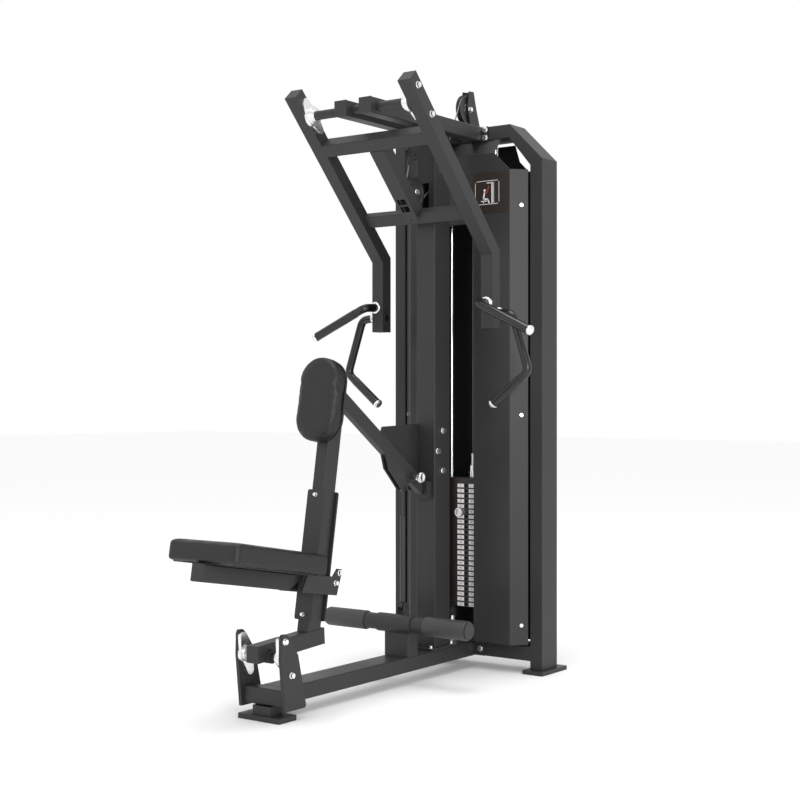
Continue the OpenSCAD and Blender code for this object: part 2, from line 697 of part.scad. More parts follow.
// Seat tube and the two side plates that slide along the post's guide plates
module seat_carriage() {
    color(steel) from_front() leaning() {
        difference() {
            tube_y([-25, -519, 386], [25, -46, 441]);
            translate([-30, -46, 441]) rotate([-54, 0, 0]) translate([0, 0, -90]) cube([60, 60, 100]);
        }
        block([-25, -523, 387], [25, -519, 440]);
        both_sides() side_plate(42, 48) polygon([[-83, 384], [-62, 441], [57, 447], [72, 447], [90, 474],
            [113, 474], [113, 450], [105, 411], [101, 386]]);
        block([-48, -76, 388], [48, -48, 391]);
        difference() {
            block([-42, 78, 388], [42, 90, 436]);
            bar_y(70, 100, 6.05, 0, 410);
        }
        both_sides() {
            block([37, -20, 388], [42, 60, 400]);
            block([37, -20, 428], [42, 60, 440]);
            block([25, -75, 388], [42, -48, 440]);
        }
    }
}
module carriage_bolts() {
    color(chrome) from_front() leaning() both_sides() {
        bolt_head_x(48, 102, 461, 9);
        bolt_head_x(48, 86, 426, 8);
    }
}
module seat_board() {
    color("#202020") from_front() leaning() block([-seat_w / 2 + 25, -seat_rear - seat_len + 25, 441],
        [seat_w / 2 - 25, -seat_rear - 25, 446.4]);
}
module seat_pad() {
    color("#262626") from_front() leaning()
        translate([0, -seat_rear - seat_len / 2, 446.7]) linear_extrude(seat_t) tube_section(seat_w, seat_len, 28);
}
// Spring plunger that locks the seat's height
module seat_pin() {
    color(chrome) from_front() leaning() {
        bar_y(65.5, 112, 6, 0, 410);
        bar_y(112, 126, 19, 0, 410);
    }
}
module gas_cylinder() {
    color("#181818") from_front() {
        translate([0, gas_foot[0], gas_foot[1] + 14]) difference() {
            cylinder(h = 306, r = 10);
            translate([0, 0, 10]) cylinder(h = 300, r = 4.1);
        }
        difference() {
            bar_x(-8, 8, 15, gas_foot[0], gas_foot[1]);
            bar_x(-9, 9, 5, gas_foot[0], gas_foot[1]);
        }
    }
}
module gas_rod() {
    color(chrome) from_front() {
        translate([0, gas_foot[0], 430]) cylinder(h = lug_hub[1] - 12 - 430, r = 4);
        difference() {
            bar_x(-7, 7, 13, lug_hub[0] + 1, lug_hub[1]);
            bar_x(-8, 8, 8, lug_hub[0] + 1, lug_hub[1]);
        }
    }
}
module tilt_pin() {
    color(chrome) from_front() {
        bar_x(-42, 46, 6, pin_hub[0], pin_hub[1]);
        bar_x(29, 44, 11, pin_hub[0], pin_hub[1]);
        bar_x(45, 60, 20, pin_hub[0], pin_hub[1]);
    }
}
module frame_bolts() {
    color(chrome) from_front() {
        both_sides() bolt_head_y(70, upright_front - 7, 72);
        both_sides() for (z = [2004, 2034]) bolt_head_y(91, upright_front - 7, z, 10);
        for (p = [[-38, 822], [38, 822], [-38, 952], [38, 952]]) bolt_head_z(p[0], p[1], beam_top + 8, 6);
        both_sides() {
            bolt_head_x(97, -61, 258);
            bolt_head_x(97, -29, 148);
        }
        for (p = [[895, 900], [861, 826], [895, 753]]) bolt_head_x(column_w / 2, p[0], p[1], 10);
        mirror([1, 0, 0]) bolt_head_x(tower_x, 1149, 959, 8);
        both_sides() for (z = [178, 957, 1735])
            translate([258, 1093.1, z]) rotate([0, 0, 43.3]) bar_y(-4, -0.1, 7, 0, 0);
    }
}

base_beam();
front_cross_tube();
feet();
bearing_plates();
base_bearings();
rear_cross_tube();
uprights();
top_beam();
overhead_beams();
main_column();
pivot_shaft();
foot_post();
foot_bar();
foot_sleeves();
quadrant_plate();
stop_block();
stop_bumper();
cable_anchor();
pulley_bracket();
pulley_axles();
top_pulley();
guide_pulley();
front_shroud();
rear_cover();
placard();
guide_rods();
bumper_seats();
stack_bumpers();
lower_plates();
frame_bolts();
upper_plates();
head_plate();
selector_stem();
selector_pin();
stack_cable();
arm_cable();
yoke_arms();
yoke_cross_tubes();
yoke_channel();
yoke_bearings();
arm_pulley();
row_handles();
handle_fittings();
yoke_bolts();
rocker_tube();
rocker_shaft();
seat_post();
guide_plates();
brace_arm();
chest_board();
chest_pad();
post_screws();
seat_carriage();
carriage_bolts();
seat_board();
seat_pad();
seat_pin();
gas_cylinder();
gas_rod();
tilt_pin();
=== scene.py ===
# Seated row machine: a leaning seat frame with a chest pad in front of a shrouded weight tower,
# and a pull yoke that hangs from two overhead beams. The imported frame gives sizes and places.
import math

import bmesh
import bpy
from mathutils import Matrix, Vector


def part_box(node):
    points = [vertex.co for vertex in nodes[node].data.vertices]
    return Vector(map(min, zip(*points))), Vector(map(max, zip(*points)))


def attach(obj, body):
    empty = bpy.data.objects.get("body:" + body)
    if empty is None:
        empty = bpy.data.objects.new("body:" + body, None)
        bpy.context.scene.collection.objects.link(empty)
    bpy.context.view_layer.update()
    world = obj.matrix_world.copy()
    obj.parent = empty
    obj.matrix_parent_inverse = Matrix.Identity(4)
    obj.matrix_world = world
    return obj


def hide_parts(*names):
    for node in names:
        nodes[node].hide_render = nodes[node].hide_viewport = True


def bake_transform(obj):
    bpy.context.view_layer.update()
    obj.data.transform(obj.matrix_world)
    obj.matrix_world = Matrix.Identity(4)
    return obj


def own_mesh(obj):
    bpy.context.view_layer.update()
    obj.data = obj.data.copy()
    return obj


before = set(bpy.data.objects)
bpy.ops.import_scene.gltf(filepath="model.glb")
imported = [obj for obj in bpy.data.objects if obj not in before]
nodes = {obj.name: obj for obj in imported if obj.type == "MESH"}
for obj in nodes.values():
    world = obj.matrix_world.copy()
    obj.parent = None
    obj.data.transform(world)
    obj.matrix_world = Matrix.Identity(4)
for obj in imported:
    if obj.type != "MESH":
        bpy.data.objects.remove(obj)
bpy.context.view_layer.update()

# --- Camera -------------------------------------------------------------------------------
# A person's-eye view from the sitter's right and front, at chest height, with upright lines
# kept upright by a level camera.
footprint_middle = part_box("seat_pad")[0].y + (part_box("feet")[1].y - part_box("seat_pad")[0].y) / 2
lens_data = bpy.data.cameras.new("studio_camera")
lens_data.sensor_width = 36
lens_data.lens = 64.67
camera = bpy.data.objects.new("studio_camera", lens_data)
camera.location = (3.0267, footprint_middle - 3.9337, 1.013)
camera.rotation_euler = (math.radians(90), 0, math.radians(36.05))
bpy.context.scene.collection.objects.link(camera)
bpy.context.scene.camera = camera


# --- Studio -------------------------------------------------------------------------------
# A plain pale floor, lit by large soft panels: a key at the sitter's right, a fill
# in front and a panel overhead, so that faces to the right read lighter than faces in front.
def linear(hex_colour):
    """An sRGB hex colour as linear light, with full opacity."""
    parts = [int(hex_colour[i : i + 2], 16) / 255 for i in (1, 3, 5)]
    return [c / 12.92 if c <= 0.04045 else ((c + 0.055) / 1.055) ** 2.4 for c in parts] + [1.0]


def add_node(tree, kind, links=(), **settings):
    """A shader node with its settings by name, its input values by socket, and its links."""
    node = tree.nodes.new(kind)
    for name, value in settings.items():
        if name == "values":
            for socket, number in value.items():
                node.inputs[socket].default_value = number
        else:
            setattr(node, name, value)
    for source, output, socket in links:
        tree.links.new(source.outputs[output], node.inputs[socket])
    return node


def new_material(name):
    """An empty material with its tree, its object coordinates and its shader."""
    material = bpy.data.materials.new(name)
    material.use_nodes = True
    tree = material.node_tree
    tree.nodes.clear()
    place = add_node(tree, "ShaderNodeTexCoord")
    shader = add_node(tree, "ShaderNodeBsdfPrincipled")
    add_node(tree, "ShaderNodeOutputMaterial", [(shader, "BSDF", "Surface")])
    return material, tree, place, shader


floor_paint, tree, place, shader = new_material("matt_studio_floor_paint")
shader.inputs["Base Color"].default_value = linear("#fafafa")
shader.inputs["Roughness"].default_value = 0.9
bm = bmesh.new()
bmesh.ops.create_grid(bm, x_segments=1, y_segments=1, size=30)
floor_mesh = bpy.data.meshes.new("studio_floor")
bm.to_mesh(floor_mesh)
bm.free()
studio_floor = bpy.data.objects.new("studio_floor", floor_mesh)
studio_floor.data.materials.append(floor_paint)
bpy.context.scene.collection.objects.link(studio_floor)

world = bpy.data.worlds.new("studio_air")
world.use_nodes = True
world.node_tree.nodes["Background"].inputs["Color"].default_value = linear("#ffffff")
world.node_tree.nodes["Background"].inputs["Strength"].default_value = 1.0
bpy.context.scene.world = world
bpy.context.scene.view_settings.view_transform = "Standard"


def soft_panel(name, place, target, size, watts):
    """A square light panel at a place, turned to a target."""
    data = bpy.data.lights.new(name, "AREA")
    data.size = size
    data.energy = watts
    panel = bpy.data.objects.new(name, data)
    panel.location = place
    panel.rotation_euler = (Vector(target) - Vector(place)).to_track_quat("-Z", "Y").to_euler()
    bpy.context.scene.collection.objects.link(panel)


soft_panel("key_panel", (4.3, -3.0, 1.9), (0, 0, 1.1), 2.2, 100)
soft_panel("fill_panel", (-1.6, -4.6, 2.4), (0, 0, 1.1), 2.6, 15)
soft_panel("top_panel", (0.4, -0.4, 5.2), (0, 0, 1.0), 2.6, 90)


# --- Steel frame --------------------------------------------------------------------------
# Cold drawn steel tube and laser cut plate, welded, shot blasted and powder coated in a fine
# texture charcoal. The coat leaves a shallow orange-peel skin and softens every cut edge.
def edge_softening(tree, radius, bump):
    """Rounds the look of a cut edge by its real radius, over a bump."""
    return add_node(tree, "ShaderNodeBevel", [(bump, "Normal", "Normal")], samples=6,
                    values={"Radius": radius})


def powder_coat(name, low, high, roughness, grain=400.0, radius=0.0016):
    """Thermoset powder: a fine cured texture, a little colour drift and dull edges."""
    material, tree, place, shader = new_material(name)
    cloud = add_node(tree, "ShaderNodeTexNoise", [(place, "Object", "Vector")],
                     values={"Scale": 7.0, "Detail": 3.0})
    tint = add_node(tree, "ShaderNodeMix", [(cloud, "Fac", 0)], data_type="RGBA",
                    values={6: linear(low), 7: linear(high)})
    peel = add_node(tree, "ShaderNodeTexNoise", [(place, "Object", "Vector")],
                    values={"Scale": grain, "Detail": 2.0})
    gloss = add_node(tree, "ShaderNodeMapRange", [(peel, "Fac", "Value")],
                     values={"To Min": roughness - 0.06, "To Max": roughness + 0.08})
    bump = add_node(tree, "ShaderNodeBump", [(peel, "Fac", "Height")],
                    values={"Strength": 0.12, "Distance": 0.0004})
    edge = edge_softening(tree, radius, bump)
    shader.inputs["Specular IOR Level"].default_value = 0.3
    tree.links.new(tint.outputs[2], shader.inputs["Base Color"])
    tree.links.new(gloss.outputs["Result"], shader.inputs["Roughness"])
    tree.links.new(edge.outputs["Normal"], shader.inputs["Normal"])
    return material


def dress(material, *names):
    """Gives CAD nodes a finish."""
    for name in names:
        slots = nodes[name].data.materials
        slots.clear()
        slots.append(material)


charcoal_coat = powder_coat("charcoal_textured_powder_coat", "#29292a", "#2e2e2f", 0.44)
dress(charcoal_coat, "base_beam", "front_cross_tube", "feet", "bearing_plates", "rear_cross_tube",
      "uprights", "top_beam", "overhead_beams", "main_column", "pivot_shaft", "foot_post",
      "quadrant_plate", "stop_block", "pulley_bracket", "yoke_arms", "yoke_cross_tubes",
      "yoke_channel", "rocker_tube", "rocker_shaft", "seat_post", "guide_plates", "brace_arm",
      "seat_carriage", "foot_bar", "cable_anchor")

# --- Tower covers -------------------------------------------------------------------------
# Folded 2 mm sheet steel, powder coated a shade smoother than the frame. The rear sheet is
# coloured nearly black as painted shade, standing in for the dark inside of the tower.
cover_coat = powder_coat("smooth_charcoal_cover_coat", "#2c2c2c", "#313131", 0.38, 550.0, 0.0012)
tower_inside_painted_shade_coat = powder_coat("painted_shade_black_sheet_coat", "#141414", "#191919", 0.6)
dress(cover_coat, "front_shroud")
# The rear cover's near-black colour is painted shade for the inside of the tower.
dress(tower_inside_painted_shade_coat, "rear_cover")


# --- Chromed and polished steel -----------------------------------------------------------
# Bolts, rods and collars are bright chrome plate; the flange bearings are polished castings
# with a faint wave left by the mop.
def bright_metal(name, colour, roughness, wave=0.0, radius=0.0009):
    material, tree, place, shader = new_material(name)
    smear = add_node(tree, "ShaderNodeTexNoise", [(place, "Object", "Vector")],
                     values={"Scale": 60.0, "Detail": 4.0})
    gloss = add_node(tree, "ShaderNodeMapRange", [(smear, "Fac", "Value")],
                     values={"To Min": roughness * 0.7, "To Max": roughness * 1.4})
    bump = add_node(tree, "ShaderNodeBump", [(smear, "Fac", "Height")],
                    values={"Strength": wave, "Distance": 0.001})
    edge = edge_softening(tree, radius, bump)
    shader.inputs["Base Color"].default_value = linear(colour)
    shader.inputs["Metallic"].default_value = 1.0
    tree.links.new(gloss.outputs["Result"], shader.inputs["Roughness"])
    tree.links.new(edge.outputs["Normal"], shader.inputs["Normal"])
    return material


chrome_plate = bright_metal("bright_chrome_plate", "#efeff0", 0.2)
mopped_casting = bright_metal("mopped_bearing_casting", "#e6e6e6", 0.26, 0.03, 0.0008)
dress(chrome_plate, "pulley_axles", "guide_rods", "bumper_seats", "frame_bolts", "carriage_bolts",
      "selector_stem", "handle_fittings", "yoke_bolts", "post_screws", "seat_pin", "tilt_pin",
      "selector_pin")
dress(mopped_casting, "base_bearings", "yoke_bearings")


# --- Rubber, nylon and stoved parts -------------------------------------------------------
# Bumpers and the foot bar's sleeves are moulded rubber, the plates cast iron stoved black and
# the pad boards black sprayed birch ply. The gas spring has the nylon wheels' satin black.
def moulded(name, low, high, roughness, grain, strength):
    material, tree, place, shader = new_material(name)
    speck = add_node(tree, "ShaderNodeTexNoise", [(place, "Object", "Vector")],
                     values={"Scale": grain, "Detail": 3.0})
    tint = add_node(tree, "ShaderNodeMix", [(speck, "Fac", 0)], data_type="RGBA",
                    values={6: linear(low), 7: linear(high)})
    gloss = add_node(tree, "ShaderNodeMapRange", [(speck, "Fac", "Value")],
                     values={"To Min": roughness - 0.05, "To Max": roughness + 0.08})
    bump = add_node(tree, "ShaderNodeBump", [(speck, "Fac", "Height")],
                    values={"Strength": strength, "Distance": 0.0006})
    tree.links.new(tint.outputs[2], shader.inputs["Base Color"])
    tree.links.new(gloss.outputs["Result"], shader.inputs["Roughness"])
    tree.links.new(bump.outputs["Normal"], shader.inputs["Normal"])
    return material


bumper_rubber = moulded("moulded_black_rubber", "#161616", "#1c1c1c", 0.6, 300.0, 0.15)
sleeve_rubber = moulded("satin_foot_sleeve_rubber", "#2e2e2f", "#363637", 0.5, 500.0, 0.25)
turned_nylon = moulded("turned_black_nylon", "#1b1b1b", "#222222", 0.38, 90.0, 0.05)
stoved_iron = moulded("stoved_cast_plate", "#191514", "#2a201d", 0.5, 160.0, 0.3)
sprayed_ply = moulded("black_sprayed_ply", "#151515", "#1d1c1b", 0.6, 80.0, 0.2)
dress(bumper_rubber, "stop_bumper", "stack_bumpers")
dress(turned_nylon, "top_pulley", "guide_pulley", "arm_pulley", "gas_cylinder", "gas_rod")
dress(stoved_iron, "lower_plates", "upper_plates", "head_plate")
dress(sprayed_ply, "chest_board", "seat_board")
dress(sleeve_rubber, "foot_sleeves")


# --- Padding ------------------------------------------------------------------------------
# Moulded foam on a ply board, wrapped in a black fine grain vinyl leathercloth that is pulled
# round the edge and stapled under the board; the foam crowns the face and rounds the rim.
def leathercloth():
    material, tree, place, shader = new_material("fine_grain_vinyl_leathercloth")
    cell = add_node(tree, "ShaderNodeTexVoronoi", [(place, "Object", "Vector")],
                    values={"Scale": 620.0})
    crease = add_node(tree, "ShaderNodeTexNoise", [(place, "Object", "Vector")],
                      values={"Scale": 120.0, "Detail": 5.0})
    tint = add_node(tree, "ShaderNodeMix", [(crease, "Fac", 0)], data_type="RGBA",
                    values={6: linear("#0f0f10"), 7: linear("#171718")})
    grain = add_node(tree, "ShaderNodeMix", [(cell, "Distance", 2), (crease, "Fac", 3)],
                     values={0: 0.35})
    gloss = add_node(tree, "ShaderNodeMapRange", [(crease, "Fac", "Value")],
                     values={"To Min": 0.36, "To Max": 0.52})
    bump = add_node(tree, "ShaderNodeBump", [(grain, 0, "Height")],
                    values={"Strength": 0.5, "Distance": 0.0008})
    shader.inputs["Specular IOR Level"].default_value = 0.4
    tree.links.new(tint.outputs[2], shader.inputs["Base Color"])
    tree.links.new(gloss.outputs["Result"], shader.inputs["Roughness"])
    tree.links.new(bump.outputs["Normal"], shader.inputs["Normal"])
    return material


pad_vinyl = leathercloth()
post_lean = math.radians(-9.7)
pressure = 4.0
sim_frames = 20


def finished(name, bm, material, body, smooth=True):
    """Turns a bmesh into a piece that rides on a body."""
    bmesh.ops.remove_doubles(bm, verts=bm.verts, dist=1e-6)
    bmesh.ops.recalc_face_normals(bm, faces=bm.faces)
    mesh = bpy.data.meshes.new(name)
    bm.to_mesh(mesh)
    bm.free()
    mesh.materials.append(material)
    if smooth:
        mesh.shade_smooth()
    piece = bpy.data.objects.new(name, mesh)
    bpy.context.scene.collection.objects.link(piece)
    if body:
        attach(piece, body)
    return piece


def stuff(piece, cap):
    """Remeshes a closed cover, blows it up a little like foam under vinyl, and keeps the result."""
    bpy.context.view_layer.objects.active = piece
    remesh = piece.modifiers.new("even_cloth", "REMESH")
    remesh.mode = "VOXEL"
    remesh.voxel_size = 0.006
    remesh.use_smooth_shade = True
    bpy.ops.object.modifier_apply(modifier=remesh.name)
    cut = [v.co.copy() for v in piece.data.vertices]
    cloth = piece.modifiers.new("foam_push", "CLOTH")
    cloth.settings.use_pressure = True
    cloth.settings.uniform_pressure_force = pressure
    cloth.settings.tension_stiffness = 15
    cloth.settings.bending_stiffness = 2
    cloth.settings.effector_weights.gravity = 0
    for frame_number in range(1, sim_frames + 1):
        bpy.context.scene.frame_set(frame_number)
    shaped = piece.evaluated_get(bpy.context.evaluated_depsgraph_get())
    pushed = [v.co.copy() for v in shaped.data.vertices]
    for vertex, start, moved in zip(piece.data.vertices, cut, pushed):
        step = moved - start
        vertex.co = start + step * min(1.0, cap / max(step.length, 1e-9))
    piece.modifiers.remove(cloth)
    bpy.context.scene.frame_set(1)
    smooth = piece.modifiers.new("rounding", "SUBSURF")
    smooth.levels = smooth.render_levels = 1
    bpy.ops.object.modifier_apply(modifier=smooth.name)


def pad(node, outline, thick, full, crown):
    """A cushion over an outline in its own plane (X, Z), standing thick towards -Y."""
    low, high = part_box(node)
    middle = (low + high) / 2
    bm = bmesh.new()
    outline(bm)
    face = bm.faces[:]
    grown = bmesh.ops.extrude_face_region(bm, geom=face)
    top = [v for v in grown["geom"] if isinstance(v, bmesh.types.BMVert)]
    bmesh.ops.translate(bm, verts=top, vec=(0, -thick, 0))
    bmesh.ops.recalc_face_normals(bm, faces=bm.faces)
    rim = [e for e in bm.edges if all(abs(v.co.y + thick) < 1e-6 for v in e.verts)]
    bmesh.ops.bevel(bm, geom=rim, offset=crown, offset_type="OFFSET", segments=5, profile=0.5,
                    affect="EDGES", material=-1)
    back = [e for e in bm.edges if all(abs(v.co.y) < 1e-6 for v in e.verts)]
    bmesh.ops.bevel(bm, geom=back, offset=0.006, offset_type="OFFSET", segments=3, profile=0.5,
                    affect="EDGES", material=-1)
    bmesh.ops.translate(bm, verts=bm.verts, vec=(0, full / 2, 0))
    return bm, middle


def rounded_rectangle(width, height, radius):
    """An outline maker: a rectangle with round corners in the X-Z plane."""
    def draw(bm):
        bmesh.ops.create_grid(bm, x_segments=1, y_segments=1, size=0.5)
        bmesh.ops.scale(bm, verts=bm.verts, vec=(width, height, 1))
        bmesh.ops.rotate(bm, verts=bm.verts, matrix=Matrix.Rotation(math.radians(90), 3, "X"))
        bmesh.ops.bevel(bm, geom=bm.verts[:], offset=radius, segments=8, profile=0.5,
                        affect="VERTICES", material=-1)
    return draw


def cushion(name, node, body, size, radius, thick, full, crown, turn, cap):
    bm, middle = pad(node, rounded_rectangle(size[0], size[1], radius), thick, full, crown)
    bmesh.ops.rotate(bm, verts=bm.verts, matrix=Matrix.Rotation(turn, 3, "X"))
    bmesh.ops.translate(bm, verts=bm.verts, vec=middle)
    piece = finished(name, bm, pad_vinyl, None)
    stuff(piece, cap)
    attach(piece, body)
    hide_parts(node)


foam_crown = 0.012
push_limit = 0.005
cushion("seat_cushion", "seat_pad", "seat", (0.298, 0.452), 0.022, 0.061, 0.066, foam_crown,
        post_lean - math.radians(90), push_limit)
cushion("chest_cushion", "chest_pad", "seat_frame", (0.165, 0.285), 0.0824, 0.054, 0.059,
        foam_crown, post_lean, push_limit)

# --- Handles ------------------------------------------------------------------------------
# Four 31 mm steel bars, bent cold and welded to the yoke, with gloss black dipped vinyl over
# the hand grips, polished collars at the roots and turned, domed chrome caps on the ends.
rear_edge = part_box("front_cross_tube")[1].y


def bench(x, y, z):
    """A place given in millimetres from the machine's middle line, the front cross tube and the floor."""
    return Vector((x / 1000, rear_edge + y / 1000, z / 1000))


def rounded_route(corners, radius, steps=10):
    """The corners of a bent bar with each bend drawn as a smooth curve."""
    route = [corners[0]]
    for before, corner, after in zip(corners, corners[1:], corners[2:]):
        to_start = (before - corner).normalized() * radius
        to_end = (after - corner).normalized() * radius
        for i in range(steps + 1):
            t = i / steps
            route.append(corner + to_start * (1 - t) ** 2 + to_end * t ** 2)
    return route + [corners[-1]]


def swept_bar(route, radius, sides=24):
    """A closed round bar along a route, made by extruding a ring from point to point."""
    bm = bmesh.new()
    aim = (route[1] - route[0]).normalized()
    turn = Vector((0, 0, 1)).rotation_difference(aim).to_matrix().to_4x4()
    bmesh.ops.create_circle(bm, cap_ends=False, radius=radius, segments=sides,
                            matrix=Matrix.Translation(route[0]) @ turn)
    ring = bm.edges[:]
    for i in range(1, len(route)):
        ahead = route[min(i + 1, len(route) - 1)] - route[i - 1]
        new_aim = ahead.normalized() if i + 1 < len(route) else (route[i] - route[i - 1]).normalized()
        grown = bmesh.ops.extrude_edge_only(bm, edges=ring)["geom"]
        ring = [g for g in grown if isinstance(g, bmesh.types.BMEdge)]
        verts = [g for g in grown if isinstance(g, bmesh.types.BMVert)]
        step = (Matrix.Translation(route[i]) @ aim.rotation_difference(new_aim).to_matrix().to_4x4()
                @ Matrix.Translation(-route[i - 1]))
        bmesh.ops.transform(bm, matrix=step, verts=verts)
        aim = new_aim
    bmesh.ops.holes_fill(bm, edges=bm.edges)
    return bm


def turned(profile, place, axis, steps=40):
    """A lathe-turned part: a profile of (radius, height) points spun about Z, then set on an axis."""
    bm = bmesh.new()
    verts = [bm.verts.new((r, 0, h)) for r, h in profile]
    edges = [bm.edges.new(pair) for pair in zip(verts, verts[1:])]
    bmesh.ops.spin(bm, geom=verts + edges, cent=(0, 0, 0), axis=(0, 0, 1), angle=math.tau,
                   steps=steps, use_merge=True)
    bmesh.ops.remove_doubles(bm, verts=bm.verts, dist=1e-6)
    turn = Vector((0, 0, 1)).rotation_difference(Vector(axis).normalized()).to_matrix().to_4x4()
    bmesh.ops.transform(bm, matrix=Matrix.Translation(place) @ turn, verts=bm.verts)
    return bm


def joined(parts):
    """Several bmeshes as one."""
    whole = bmesh.new()
    for part in parts:
        mesh = bpy.data.meshes.new("joining")
        part.to_mesh(mesh)
        part.free()
        whole.from_mesh(mesh)
        bpy.data.meshes.remove(mesh)
    return whole


def sharp_edged(piece, angle=35):
    """Flat shading across crisp edges only."""
    piece.data.set_sharp_from_angle(angle=math.radians(angle))
    return piece


dipped_vinyl = moulded("gloss_black_dipped_vinyl", "#0c0c0c", "#121212", 0.2, 220.0, 0.05)
bar_radius = 0.0155
grip_radius = 0.0165
grip_start = 0.045
bend_run = 0.024
dome = [(0, 0), (0.0165, 0), (0.0180, 0.0015), (0.0180, 0.007), (0.0168, 0.0085), (0.0160, 0.009),
        (0.0148, 0.0115), (0.0110, 0.0134), (0.0058, 0.0140), (0, 0.0142)]
collar = [(bar_radius, 0), (0.0215, 0), (0.0225, 0.001), (0.0225, 0.0125), (0.0212, 0.0145),
          (0.0180, 0.0158), (0.0168, 0.016), (bar_radius, 0.016)]
bars, grips, caps, collars = [], [], [], []
for side in (-1, 1):
    upper = [bench(side * 247, 875.5, 1362), bench(side * 250, 802, 1358), bench(side * 471, 791, 1255)]
    lower = [bench(side * 270.5, 903, 1325), bench(side * 338, 904, 1319), bench(side * 404, 901, 1115),
             bench(side * 262, 896, 1001)]
    for corners, root in ((upper, (0, -1, 0)), (lower, (side, 0, 0))):
        aim = (corners[-1] - corners[-2]).normalized()
        bars.append(swept_bar(rounded_route(corners, bend_run), bar_radius))
        grip_route = [corners[-2] + aim * grip_start, corners[-2] + aim * (grip_start + 0.002), corners[-1]]
        grips.append(swept_bar(grip_route, grip_radius))
        caps.append(turned(dome, corners[-1], aim))
        collars.append(turned(collar, corners[0], root))
handle_bars = finished("handle_bars", joined(bars), dipped_vinyl, "yoke")
handle_grips = finished("handle_grips", joined(grips), dipped_vinyl, "yoke")
handle_caps = finished("handle_caps", joined(caps), chrome_plate, "yoke")
handle_collars = finished("handle_collars", joined(collars), chrome_plate, "yoke")
for piece in (handle_bars, handle_grips, handle_caps, handle_collars):
    sharp_edged(piece, 40)
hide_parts("row_handles")
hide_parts("handle_fittings")

# --- Pull knobs ---------------------------------------------------------------------------
# Round knobs turned from bar with a fluted rim for the fingers; the selector's is satin light
# grey, the tilt plunger's is chromed.
satin_knob = bright_metal("satin_turned_knob", "#c9c9c9", 0.32)


def knob(radius, depth):
    """The profile of a knob with a waist, a rounded rim and a dished face."""
    return [(0, 0), (radius * 0.62, 0), (radius * 0.66, depth * 0.2), (radius * 0.95, depth * 0.3),
            (radius, depth * 0.42), (radius, depth * 0.82), (radius * 0.93, depth * 0.97),
            (radius * 0.7, depth), (radius * 0.6, depth * 0.93), (0, depth * 0.9)]


def fluted(profile, place, axis, flutes=18, bite=0.05):
    """A turned knob whose rim is pressed in, every other rib, for grip."""
    bm = turned(profile, (0, 0, 0), (0, 0, 1), steps=flutes * 4)
    outer = max(r for r, h in profile)
    for vertex in bm.verts:
        reach = math.hypot(vertex.co.x, vertex.co.y)
        if reach > outer * 0.9:
            angle = math.atan2(vertex.co.y, vertex.co.x)
            squeeze = 1 - bite * (0.5 + 0.5 * math.cos(angle * flutes))
            vertex.co.x *= squeeze
            vertex.co.y *= squeeze
    turn = Vector((0, 0, 1)).rotation_difference(Vector(axis).normalized()).to_matrix().to_4x4()
    bmesh.ops.transform(bm, matrix=Matrix.Translation(place) @ turn, verts=bm.verts)
    return bm


low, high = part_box("selector_pin")
pin_axis = Vector((0, low.y + 0.016, (low.z + high.z) / 2))
pin_shape = swept_bar([Vector((0, high.y, pin_axis.z)), Vector((0, low.y + 0.012, pin_axis.z))], 0.005)
knob_shape = fluted(knob(0.019, 0.016), pin_axis, (0, -1, 0))
selector = finished("selector_knob_and_pin", joined([knob_shape, pin_shape]), satin_knob, "selector")
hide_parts("selector_pin")
low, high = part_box("tilt_pin")
tilt_axis = Vector((high.x - 0.016, (low.y + high.y) / 2, (low.z + high.z) / 2))
tilt_parts = [fluted(knob(0.020, 0.016), tilt_axis, (1, 0, 0)),
              turned([(0, 0), (0.0105, 0), (0.0112, 0.001), (0.0112, 0.013), (0.0095, 0.015), (0, 0.015)],
                     Vector((tilt_axis.x - 0.0155, tilt_axis.y, tilt_axis.z)), (1, 0, 0)),
              swept_bar([Vector((low.x, tilt_axis.y, tilt_axis.z)), tilt_axis], 0.006)]
tilt_plunger = finished("tilt_plunger", joined(tilt_parts), chrome_plate, "tilt_lock")
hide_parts("tilt_pin")
for piece in (selector, tilt_plunger):
    sharp_edged(piece)

# --- Foot bar sleeves ---------------------------------------------------------------------
# Moulded rubber sleeves pushed over the bar; the mould leaves a soft radius at each rim.
low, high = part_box("foot_sleeves")
sleeve_r = (high.z - low.z) / 2
sleeve_start = 0.128
sleeve_len = high.x - sleeve_start
sleeve_profile = [(0.0242, 0), (sleeve_r - 0.005, 0), (sleeve_r - 0.0014, 0.0014), (sleeve_r, 0.005),
                  (sleeve_r, sleeve_len - 0.005), (sleeve_r - 0.0014, sleeve_len - 0.0014),
                  (sleeve_r - 0.005, sleeve_len), (0.0242, sleeve_len), (0.0242, 0)]
sleeve_axis = (low + high) / 2
sleeve_parts = [turned(sleeve_profile, Vector((side * sleeve_start, sleeve_axis.y, sleeve_axis.z)),
                       (side, 0, 0), steps=64) for side in (-1, 1)]
sleeves = finished("foot_bar_sleeves", joined(sleeve_parts), sleeve_rubber, "frame")
sharp_edged(sleeves)
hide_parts("foot_sleeves")

# --- Stack labels -------------------------------------------------------------------------
# White vinyl strips on each plate, left and right of the pin holes, printed with plain weight
# numbers, so that the sitter can read the setting through the cover's window.
label_white = moulded("white_vinyl_label", "#d8d8d6", "#e4e4e2", 0.45, 200.0, 0.02)
label_ink = moulded("black_label_ink", "#1a1a1a", "#202020", 0.5, 200.0, 0.02)
label_skin = 0.0004
digit_height = 0.0105


def label_strip(x0, x1, y, z, height):
    bm = bmesh.new()
    bmesh.ops.create_cube(bm, size=1)
    bmesh.ops.scale(bm, verts=bm.verts, vec=(x1 - x0, label_skin, height))
    bmesh.ops.translate(bm, verts=bm.verts, vec=((x0 + x1) / 2, y - label_skin / 2, z))
    return bm


